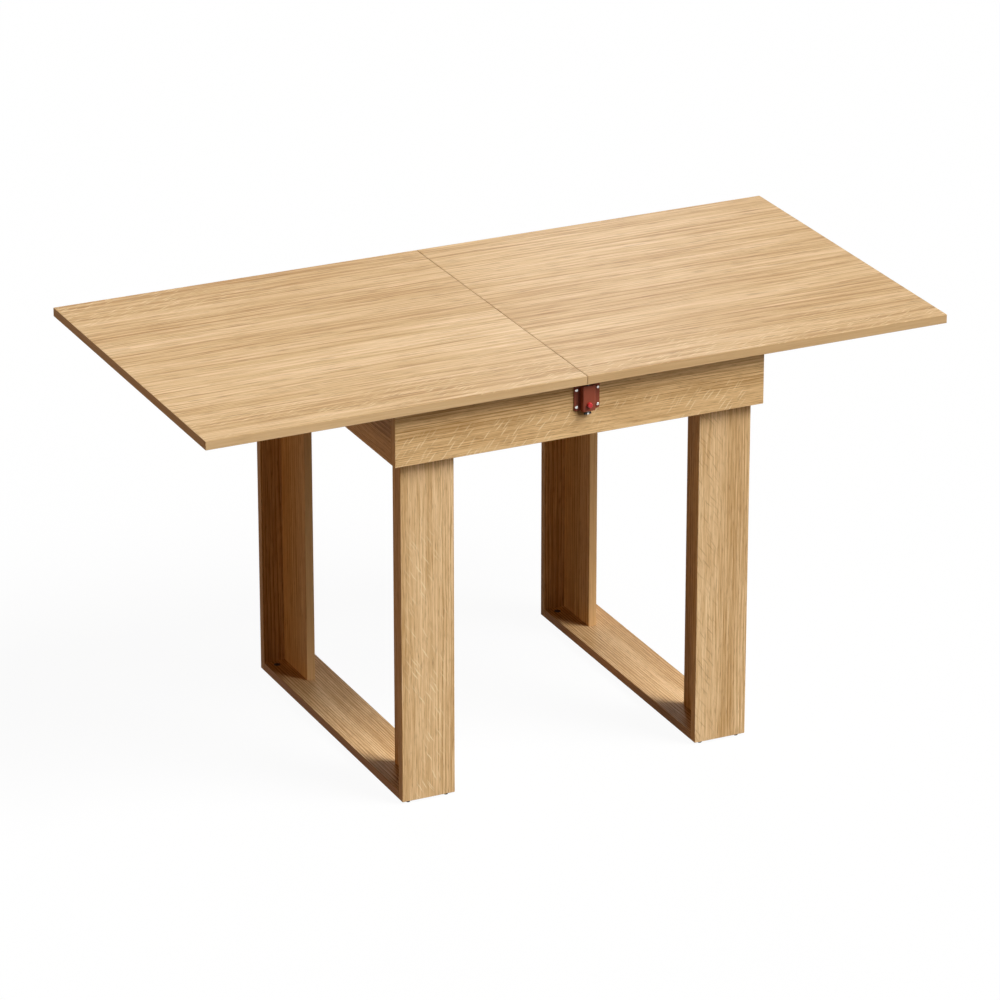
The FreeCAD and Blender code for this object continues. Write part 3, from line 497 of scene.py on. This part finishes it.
class TABLE_OT_aprons(bpy.types.Operator):
    """Dress the four boards of the box under the top."""

    bl_idname = "table.aprons"
    bl_label = "Aprons"

    def execute(self, context):
        oak = context.scene.table_oak
        tones = (oak.apron_dark, oak.apron_middle, oak.apron_light)
        low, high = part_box("front_apron")
        tall = high.z - low.z
        lower_half = Zone("Z", low.z + tall * 0.62, low.z + tall * 0.45)
        upper_half = Zone("Z", low.z + tall * 0.3, low.z + tall * 0.6)
        flecks = Flecks(turn=-0.87, amount=0.6, zones=(lower_half,))
        dress(["front_apron", "rear_apron"],
              oak_foil("oak_foil_long_apron", "X", "Z", tones,
                       Lines(spacing=6, depth=1.2, zone=upper_half), [flecks]))
        dress(["left_apron", "right_apron"],
              oak_foil("oak_foil_end_apron", "Y", "Z", tones, Lines(spacing=8, depth=0.5)))
        return {"FINISHED"}


class TABLE_OT_legs(bpy.types.Operator):
    """Dress the legs, their ribs and the foot rails."""

    bl_idname = "table.legs"
    bl_label = "Legs"

    def execute(self, context):
        oak = context.scene.table_oak
        # Painted light: the front legs' tones are a lighter copy of the board's
        lit_front_tones = (oak.lit_leg_dark, oak.lit_leg_middle, oak.lit_leg_light)
        tones = (oak.board_dark, oak.board_middle, oak.board_light)

        low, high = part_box("left_front_leg")
        middle = (low + high) / 2
        # Lines on the right side of the left leg, and pale flecks on the rest of its lower half
        left_lines = Lines(spacing=6, depth=1.3, zone=Zone("X", middle.x, high.x - 20 * MM))
        left_flecks = Flecks(turn=0.5, amount=0.8, zones=(
            Zone("X", high.x - 5 * MM, middle.x + 15 * MM),
            Zone("X", low.x, low.x + 25 * MM),
            Zone("Z", low.z + 550 * MM, low.z + 400 * MM)))
        low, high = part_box("right_front_leg")
        middle = (low + high) / 2
        # Lines on the right half of the right leg, and dark flecks along its left side
        right_half = Zone("X", middle.x - 20 * MM, middle.x + 20 * MM)
        right_lines = Lines(spacing=6, depth=0.9, zone=right_half)
        right_flecks = Flecks(turn=0.6, amount=0.3, zones=(Zone("X", middle.x, low.x + 30 * MM),),
                              colour="pore")
        for front, lines, flecks in (("left_front_leg", left_lines, left_flecks),
                                     ("right_front_leg", right_lines, right_flecks)):
            dress([front], oak_foil(f"oak_foil_{front}", "Z", "X", lit_front_tones, lines, [flecks]))

        rear_lines = Lines(spacing=7, depth=1.2)
        for rear in (f"{side}_rear_leg" for side in SIDES):
            dress([rear], oak_foil(f"oak_foil_{rear}", "Z", "X", tones, rear_lines))
        ribs = [f"{side}_{end}_rib" for side in SIDES for end in ENDS]
        dress(ribs, oak_foil("oak_foil_rib", "Z", "Y", tones, Lines(spacing=9, depth=1),
                             edge=oak.rib_edge))
        # The foot rails' narrow faces take painted shade, darker than their board
        rails = [f"{side}_foot_rail" for side in SIDES]
        dress(rails, oak_foil("oak_foil_foot_rail", "Y", "X", tones, Lines(spacing=5, depth=2.4),
                              edge=oak.rail_edge))
        return {"FINISHED"}


class Turning(NamedTuple):
    """A turned fastener's profile in millimetres, measured from the outer end of its head."""

    head: float
    crown: float
    crown_depth: float
    rim_depth: float
    neck_depth: float
    shank: float
    length: float


PAN_SCREW = Turning(
    head=6.6, crown=4, crown_depth=1.2, rim_depth=2.15, neck_depth=2.2, shank=3.4, length=15.2)
LEG_SCREW = Turning(
    head=7.6, crown=7.2, crown_depth=0.25, rim_depth=0.3, neck_depth=3.4, shank=4, length=26)
RAIL_SCREW = Turning(
    head=6.5, crown=6.1, crown_depth=0.2, rim_depth=0.25, neck_depth=2, shank=3.4, length=13)
# Width of a screw's point as a share of its shank, and corners of its rim
POINT_SHARE = 0.2
SCREW_CORNERS = 20


def turned_fastener():
    """A tree that turns a fastener, cuts its cross recess and sets a copy on each point."""
    tree = bpy.data.node_groups.new("turned_fastener", "GeometryNodeTree")
    tree.interface.new_socket("Geometry", in_out="INPUT", socket_type="NodeSocketGeometry")
    for name in ("Head", "Crown", "Crown Depth", "Rim Depth", "Neck Depth", "Shank", "Length",
                 "Recess Width", "Recess Depth", "Recess Reach"):
        socket = tree.interface.new_socket(name, in_out="INPUT", socket_type="NodeSocketFloat")
        socket.subtype = "DISTANCE"
    tree.interface.new_socket("Material", in_out="INPUT", socket_type="NodeSocketMaterial")
    tree.interface.new_socket("Geometry", in_out="OUTPUT", socket_type="NodeSocketGeometry")
    given = add(tree, "NodeGroupInput").outputs

    step = add(tree, "GeometryNodeInputIndex").outputs["Index"]
    tip = add(tree, "ShaderNodeMath", {0: given["Length"], 1: given["Shank"]},
              operation="SUBTRACT").outputs[0]
    point = add(tree, "ShaderNodeMath", {0: given["Shank"], 1: POINT_SHARE},
                operation="MULTIPLY").outputs[0]
    # The profile starts at no depth, which is what a switch gives where nothing feeds it
    depths = (None, given["Crown Depth"], given["Rim Depth"], given["Neck Depth"], tip,
              given["Length"])
    widths = (given["Crown"], given["Head"], given["Head"], given["Shank"], given["Shank"], point)
    profile = []
    for sockets in (depths, widths):
        chosen = add(tree, "GeometryNodeIndexSwitch", {"Index": step}, data_type="FLOAT")
        while len(chosen.index_switch_items) < len(sockets):
            chosen.index_switch_items.new()
        for i, socket in enumerate(sockets, 1):
            if socket is not None:
                tree.links.new(socket, chosen.inputs[i])
        profile.append(chosen)
    down = add(tree, "ShaderNodeMath", {0: profile[0], 1: -1}, operation="MULTIPLY")
    place = add(tree, "ShaderNodeCombineXYZ", {2: down})
    radius = add(tree, "ShaderNodeMath", {0: profile[1], 1: 0.5}, operation="MULTIPLY")
    line = add(tree, "GeometryNodeMeshLine", {"Count": len(depths), "Offset": (0, 0, -MM)})
    spaced = add(tree, "GeometryNodeSetPosition", {0: line, "Position": place})
    axis = add(tree, "GeometryNodeMeshToCurve", {0: spaced})
    ring = add(tree, "GeometryNodeCurvePrimitiveCircle", {"Resolution": SCREW_CORNERS, "Radius": 1})
    turned = add(tree, "GeometryNodeCurveToMesh",
                 {"Curve": axis, "Profile Curve": ring, "Scale": radius, "Fill Caps": True})

    # Each arm of the cross is centred on the outer end, so half of it is in the head
    deep = add(tree, "ShaderNodeMath", {0: given["Recess Depth"], 1: 2}, operation="MULTIPLY")
    cut = add(tree, "GeometryNodeMeshBoolean", {"Mesh 1": turned}, operation="DIFFERENCE",
              solver="EXACT")
    for long, wide in (("Recess Reach", "Recess Width"), ("Recess Width", "Recess Reach")):
        size = add(tree, "ShaderNodeCombineXYZ", {0: given[long], 1: given[wide], 2: deep})
        arm = add(tree, "GeometryNodeMeshCube", {"Size": size})
        tree.links.new(arm.outputs[0], cut.inputs["Mesh 2"])

    outward = add(tree, "GeometryNodeInputNamedAttribute", {"Name": "outward"},
                  data_type="FLOAT_VECTOR")
    aim = add(tree, "FunctionNodeAlignRotationToVector", {"Vector": outward}, axis="Z")
    copies = add(tree, "GeometryNodeInstanceOnPoints",
                 {"Points": given["Geometry"], "Instance": cut, "Rotation": aim})
    real = add(tree, "GeometryNodeRealizeInstances", {0: copies})
    coated = add(tree, "GeometryNodeSetMaterial", {0: real, "Material": given["Material"]})
    add(tree, "NodeGroupOutput", {0: coated})
    return tree


def set_fasteners(name, heads, turning, material, body):
    """Turned fasteners as one mesh on one body.

    Each head is the place of its outer end and the way that it faces.
    """
    scene = bpy.context.scene
    sizes = scene.table_screws
    tree = bpy.data.node_groups.get("turned_fastener") or turned_fastener()
    points = bpy.data.meshes.new(name)
    points.from_pydata([place for place, outward in heads], [], [])
    points.attributes.new("outward", "FLOAT_VECTOR", "POINT").data.foreach_set(
        "vector", [value for place, outward in heads for value in outward])
    piece = bpy.data.objects.new(name, points)
    scene.collection.objects.link(piece)
    modifier = piece.modifiers.new("turned_fastener", "NODES")
    modifier.node_group = tree
    values = {"Recess Width": sizes.recess_width, "Recess Depth": sizes.recess_depth,
              "Recess Reach": sizes.recess_reach, "Material": material}
    for key, value in turning._asdict().items():
        values[key.replace("_", " ").title()] = value * MM
    for item in tree.interface.items_tree:
        if item.in_out == "INPUT" and item.name in values:
            modifier[item.identifier] = values[item.name]
    result = piece.evaluated_get(bpy.context.evaluated_depsgraph_get())
    piece.data = bpy.data.meshes.new_from_object(result)
    piece.modifiers.clear()
    if not piece.data.polygons:
        raise RuntimeError(f"{name} has no faces")
    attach(piece, body)
    return piece


def round_bar(name, middle, length, width, material):
    """A short round bar across the table with rounded ends."""
    mesh = bmesh.new()
    lie = Matrix.Translation(middle) @ Matrix.Rotation(math.pi / 2, 4, "Y")
    bmesh.ops.create_cone(mesh, cap_ends=True, segments=24, radius1=width / 2, radius2=width / 2,
                          depth=length, matrix=lie)
    rims = [edge for edge in mesh.edges
            if abs(edge.verts[0].co.x - edge.verts[1].co.x) < SAME_POINT]
    bmesh.ops.bevel(mesh, geom=rims, offset=width / 8, segments=3, profile=0.5, affect="EDGES")
    return made(name, mesh, material)


class TABLE_OT_latch(bpy.types.Operator):
    """Dress the latch under the seam, and set its screws and its pull."""

    bl_idname = "table.latch"
    bl_label = "Latch"

    def execute(self, context):
        sizes = context.scene.table_screws
        # Pressed sheet with a baked enamel: an even brick red that barely shines
        dress(["latch_housing"], plain("enamelled_steel", "#8A4632", 0.4, specular=0.2))
        # Moulded ABS: a strong red with a soft gloss, so that the button stands out
        dress(["latch_button"], plain("moulded_red_plastic", "#C4262C", 0.3))
        # Ground rod, a dark grey metal with a blurred shine: painted shade, dark so that the bolt
        # under the housing does not mirror the white room
        steel = plain("burnished_steel", "#6A6560", 0.4, metallic=1)
        dress(["latch_bolt", "latch_cross_pin"], steel)
        # Bright zinc over polished heads: near white, with a sharp light on the crown
        bright = plain("bright_plated_steel", "#E6E6E4", 0.25, metallic=1)
        front = Vector((0, -1, 0))
        heads = [((middle.x, low.y, middle.z), front)
                 for low, high, middle in solids("latch_screws")]
        screws = set_fasteners("latch_cross_screws", heads, PAN_SCREW, bright, "base")
        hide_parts("latch_screws")

        # The pull lies under the bolt, and its collar reaches up into the bolt's end
        low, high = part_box("latch_bolt")
        drop = sizes.pull_width * 0.55
        axis = ((low.x + high.x) / 2, (low.y + high.y) / 2, low.z - drop)
        # A flat black on both sides of the collar: painted reflection and shade, where the tail
        # mirrors dark and lies in shadow
        black = plain("black_moulded_nylon", "#15120F", 0.4)
        # Polished chrome plate: a small mirror that shows the white room
        chrome = plain("chromed_steel", "#D8D8D8", 0.12, metallic=1)
        bar = round_bar("latch_pull", axis, sizes.pull_length, sizes.pull_width, black)
        collar = round_bar("latch_pull_collar", axis, sizes.collar_length, sizes.collar_width,
                           chrome)
        for piece, slot in ((bar, "black_plastic"), (collar, "chrome")):
            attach(piece, "latch_bolt")
        return {"FINISHED"}


class TABLE_OT_fittings(bpy.types.Operator):
    """Dress the hinges, rails, shoes, locks and glides."""

    bl_idname = "table.fittings"
    bl_label = "Fittings"

    def execute(self, context):
        # Zinc plate on pressed or rolled steel: a cool light grey with a blurred shine
        zinc = plain("zinc_plated_steel", "#A4A49F", 0.38, metallic=1)
        dress(["hinge_links_main", "hinge_links_flip", "hinge_pins_main", "hinge_pins_flip",
               "shoe_brackets", "foot_rail_cam_bolts", "apron_cam_bolts"], zinc)
        for name, turning in (("leg_screws", LEG_SCREW), ("guide_rail_screws", RAIL_SCREW)):
            heads = []
            for low, high, middle in solids(name):
                inward = -1 if middle.y > 0 else 1
                head = high.y if inward > 0 else low.y
                heads.append(((middle.x, head, middle.z), Vector((0, inward, 0))))
            screws = set_fasteners(name.replace("screws", "cross_screws"), heads, turning, zinc,
                                   "base")
            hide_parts(name)
        down = Vector((0, 0, -1))
        heads = [((middle.x, middle.y, low.z), down)
                 for low, high, middle in solids("shoe_screws")]
        screws = set_fasteners("shoe_cross_screws", heads, PAN_SCREW, zinc, "main_leaf")
        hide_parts("shoe_screws")

        # Brass from the lathe: warm yellow metal that catches the light
        brass = plain("turned_brass", "#D8B25E", 0.25, metallic=1)
        dress(["hinge_barrels_main", "hinge_barrels_flip"], brass)
        # Zinc alloy as cast: dark dull grey discs in the boards
        cast = plain("die_cast_zinc", "#5A5652", 0.45, metallic=1)
        dress(["foot_rail_cams", "apron_cams"], cast)
        # Extrusion with a clear anodised skin: pale satin metal
        aluminium = plain("anodised_aluminium", "#C4C5C7", 0.4, metallic=1)
        dress(["front_guide_rail", "rear_guide_rail"], aluminium)
        # Moulded nylon: a waxy off-white
        dress(["slide_shoes", "apron_glide_pads"], plain("white_nylon", "#E6E3DA", 0.5))
        # Moulded polyethylene: soft dull black dots under the legs
        dress(["floor_glides"], plain("black_polyethylene", "#2A2724", 0.55))
        # Rolled beech rod: pale bare wood without a sheen
        dress(["rib_dowels"], plain("beech_dowel", "#D2AC80", 0.6))
        return {"FINISHED"}


# Stage


class Lamp(NamedTuple):
    """A far lamp: its tint, the property with its strength, its spread and its place in degrees."""

    name: str
    tint: str
    strength: str
    spread: float
    azimuth: float
    elevation: float


LAMPS = (
    Lamp("key_light", WHITE, "key_power", spread=30, azimuth=46, elevation=50),
    Lamp("low_light", WHITE, "low_power", spread=22, azimuth=42, elevation=29),
    Lamp("side_light", WHITE, "side_power", spread=16, azimuth=58, elevation=9),
    Lamp("rear_light", WHITE, "rear_power", spread=20, azimuth=158, elevation=7),
    Lamp("fill_light", WARM_WHITE, "fill_power", spread=30, azimuth=-84, elevation=4),
)
LAMP_DISTANCE = 8
# The point that the camera looks at, and the one on the top where the sheen is strongest
LOOK_AT = Vector((0, -2.4, 395)) * MM
SHEEN_AT = Vector((230, -110, 752)) * MM
SHEEN_DISTANCE = 3
SHEEN_WIDTH, SHEEN_HEIGHT = 0.5, 1.2
SENSOR_WIDTH = 36
CLIP_END = 100
FLOOR_SIZE = 60
FLOOR_GAP = 0.2 * MM
# What the floor shines of itself, so that it is white with little light on it and keeps a shadow
FLOOR_GLOW = 0.95


def seen(tree):
    """A factor that is 1 where the camera sees a surface, straight, mirrored or through glass."""
    path = add(tree, "ShaderNodeLightPath").outputs
    first = add(tree, "ShaderNodeMath", {0: path["Is Camera Ray"], 1: path["Is Glossy Ray"]},
                operation="MAXIMUM")
    return add(tree, "ShaderNodeMath", {0: first, 1: path["Is Transmission Ray"]},
               operation="MAXIMUM")


def around_at(azimuth, elevation):
    """A direction from the table; azimuth 0 is the front, and it grows towards the right."""
    level = math.cos(elevation)
    return Vector((math.sin(azimuth) * level, -math.cos(azimuth) * level, math.sin(elevation)))


def set_up(name, data, target, azimuth, elevation, distance):
    """A lamp or camera that looks at a target from a side and a distance."""
    item = bpy.data.objects.new(name, data)
    item.location = target + around_at(azimuth, elevation) * distance
    item.rotation_euler = (target - item.location).to_track_quat("-Z", "Y").to_euler()
    bpy.context.scene.collection.objects.link(item)
    return item


class TABLE_OT_stage(bpy.types.Operator):
    """Make the floor, the light and the camera."""

    bl_idname = "table.stage"
    bl_label = "Stage"

    def execute(self, context):
        scene = context.scene
        stage = scene.table_stage
        scene.view_settings.view_transform = "Standard"

        world = bpy.data.worlds.new("studio")
        scene.world = world
        world.use_nodes = True
        tree = world.node_tree
        tree.nodes.clear()
        around = add(tree, "ShaderNodeBackground",
                     {"Color": linear(WARM_WHITE), "Strength": stage.ambient})
        white = add(tree, "ShaderNodeBackground", {"Color": linear(WHITE), "Strength": 1})
        both = add(tree, "ShaderNodeMixShader", {0: seen(tree), 1: around, 2: white})
        add(tree, "ShaderNodeOutputWorld", {0: both})

        bpy.ops.mesh.primitive_plane_add(size=FLOOR_SIZE, location=(0, 0, -FLOOR_GAP))
        floor = context.object
        floor.name = "floor"
        material, tree = new_material("white_studio_floor")
        # The table is lit by a brown ground, and the camera sees a white one with its shadow
        ground = add(tree, "ShaderNodeBsdfDiffuse", {"Color": linear("#5E5040")})
        shade = add(tree, "ShaderNodeBsdfDiffuse", {"Color": linear("#3C3C3C")})
        glow = add(tree, "ShaderNodeEmission", {"Color": linear(WHITE), "Strength": FLOOR_GLOW})
        shown = add(tree, "ShaderNodeAddShader", {0: shade, 1: glow})
        both = add(tree, "ShaderNodeMixShader", {0: seen(tree), 1: ground, 2: shown})
        add(tree, "ShaderNodeOutputMaterial", {0: both})
        floor.data.materials.append(material)

        for lamp in LAMPS:
            sun = bpy.data.lights.new(lamp.name, "SUN")
            sun.color = linear(lamp.tint)[:3]
            sun.energy = getattr(stage, lamp.strength)
            sun.angle = math.radians(lamp.spread)
            item = set_up(lamp.name, sun, LOOK_AT, math.radians(lamp.azimuth),
                          math.radians(lamp.elevation), LAMP_DISTANCE)
            item.visible_glossy = lamp.name == "key_light"

        # A soft box behind the table that shows only as a sheen on the top
        box = bpy.data.lights.new("sheen_light", "AREA")
        box.shape = "RECTANGLE"
        box.size, box.size_y = SHEEN_WIDTH, SHEEN_HEIGHT
        box.energy = stage.sheen_power
        sheen = set_up("sheen_light", box, SHEEN_AT, stage.azimuth + math.pi, stage.elevation,
                       SHEEN_DISTANCE)
        sheen.visible_diffuse = False

        view = bpy.data.cameras.new("camera")
        view.lens = stage.lens
        view.sensor_width = SENSOR_WIDTH
        view.clip_end = CLIP_END
        scene.camera = set_up("camera", view, LOOK_AT, stage.azimuth, stage.elevation,
                              stage.distance)
        return {"FINISHED"}


class TABLE_PT_sidebar(bpy.types.Panel):
    """Lists the table's pieces and settings."""

    bl_label = "Folding Table"
    bl_idname = "TABLE_PT_sidebar"
    bl_space_type = "VIEW_3D"
    bl_region_type = "UI"
    bl_category = "Table"

    def draw(self, context):
        for operator in OPERATORS:
            self.layout.operator(operator.bl_idname)
        for word, group in GROUPS.items():
            box = self.layout.box()
            for item in group.__annotations__:
                box.prop(getattr(context.scene, word), item)


GROUPS = {"table_oak": TABLE_PG_oak, "table_screws": TABLE_PG_screws,
          "table_stage": TABLE_PG_stage}
OPERATORS = (TABLE_OT_leaves, TABLE_OT_aprons, TABLE_OT_legs, TABLE_OT_latch, TABLE_OT_fittings,
             TABLE_OT_stage)
CLASSES = (*GROUPS.values(), *OPERATORS, TABLE_PT_sidebar)


def register():
    for cls in CLASSES:
        bpy.utils.register_class(cls)
    for word, group in GROUPS.items():
        setattr(bpy.types.Scene, word, bpy.props.PointerProperty(type=group))


def unregister():
    for word in GROUPS:
        delattr(bpy.types.Scene, word)
    for cls in reversed(CLASSES):
        bpy.utils.unregister_class(cls)


def main():
    register()
    bpy.ops.table.leaves()
    bpy.ops.table.aprons()
    bpy.ops.table.legs()
    bpy.ops.table.latch()
    bpy.ops.table.fittings()
    bpy.ops.table.stage()
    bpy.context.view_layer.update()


if __name__ == "__main__":
    main()
